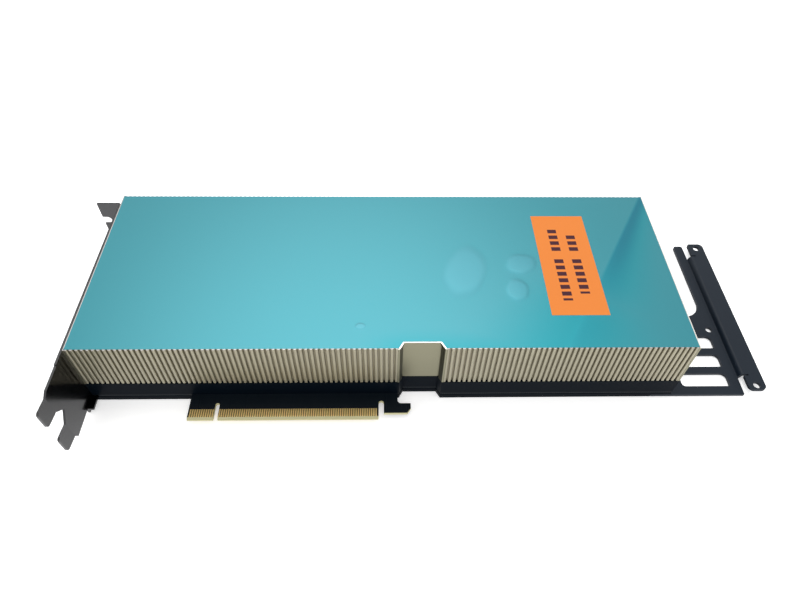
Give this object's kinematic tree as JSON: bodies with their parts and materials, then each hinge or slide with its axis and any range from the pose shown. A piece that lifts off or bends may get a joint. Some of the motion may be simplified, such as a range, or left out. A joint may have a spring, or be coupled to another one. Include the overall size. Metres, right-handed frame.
{
  "type": "passive accelerator card",
  "caption": "Dual-slot passive server accelerator card: ribbed aluminium cover open at both ends over a fin pack, card edge, I/O bracket and tail extender.",
  "frame": {"origin": "centre of the card body's flat underside, without the bracket, the card edge and the tail extender", "axes": "+X from the I/O bracket to the tail extender, +Y from the card edge to the bridge edge, +Z from the backplate to the covered top"},
  "size_m": [0.3241, 0.127, 0.0392],
  "materials": {
    "anodised_cover": "satin anodised",
    "blue_green_film": "glossy",
    "orange_label": "printed",
    "black_coat": "satin black",
    "board_laminate": "solder mask",
    "gold_contact": "plated",
    "bracket_steel": "plated steel",
    "extender_coat": "dark coat",
    "black_screw": "black oxide",
    "fin_aluminium": "bare",
    "plate_copper": "bare copper",
    "package_laminate": "laminate",
    "stiffener_steel": "bare",
    "silicon": "polished",
    "grey_paste": "matte",
    "pad_silicone": "soft pad",
    "ferrite": "moulded",
    "chip_plastic": "moulded",
    "capacitor_plastic": "moulded",
    "inlet_plastic": "moulded",
    "cap_plastic": "moulded"
  },
  "bodies": {
    "root": {"cover": "anodised_cover", "protective_film": "blue_green_film", "film_label": "orange_label", "base_frame": "black_coat", "circuit_board": "board_laminate", "edge_contacts": "gold_contact", "backplate": "black_coat", "clamp_screws": "black_screw", "package_substrate": "package_laminate", "package_stiffener": "stiffener_steel", "processor_die": "silicon", "memory_stacks": "silicon", "thermal_paste": "grey_paste", "cold_plate": "plate_copper", "fin_pack": "fin_aluminium", "power_inductors": "ferrite", "thermal_pads": "pad_silicone", "power_stages": "chip_plastic", "bulk_capacitors": "capacitor_plastic", "input_chokes": "ferrite", "power_inlet": "inlet_plastic", "power_inlet_pins": "gold_contact", "io_bracket": "bracket_steel", "io_bracket_screws": "black_screw", "tail_extender": "extender_coat", "tail_extender_screw": "black_screw", "bridge_cap_1": "cap_plastic", "bridge_cap_2": "cap_plastic", "bridge_cap_3": "cap_plastic"}
  },
  "joints": []
}
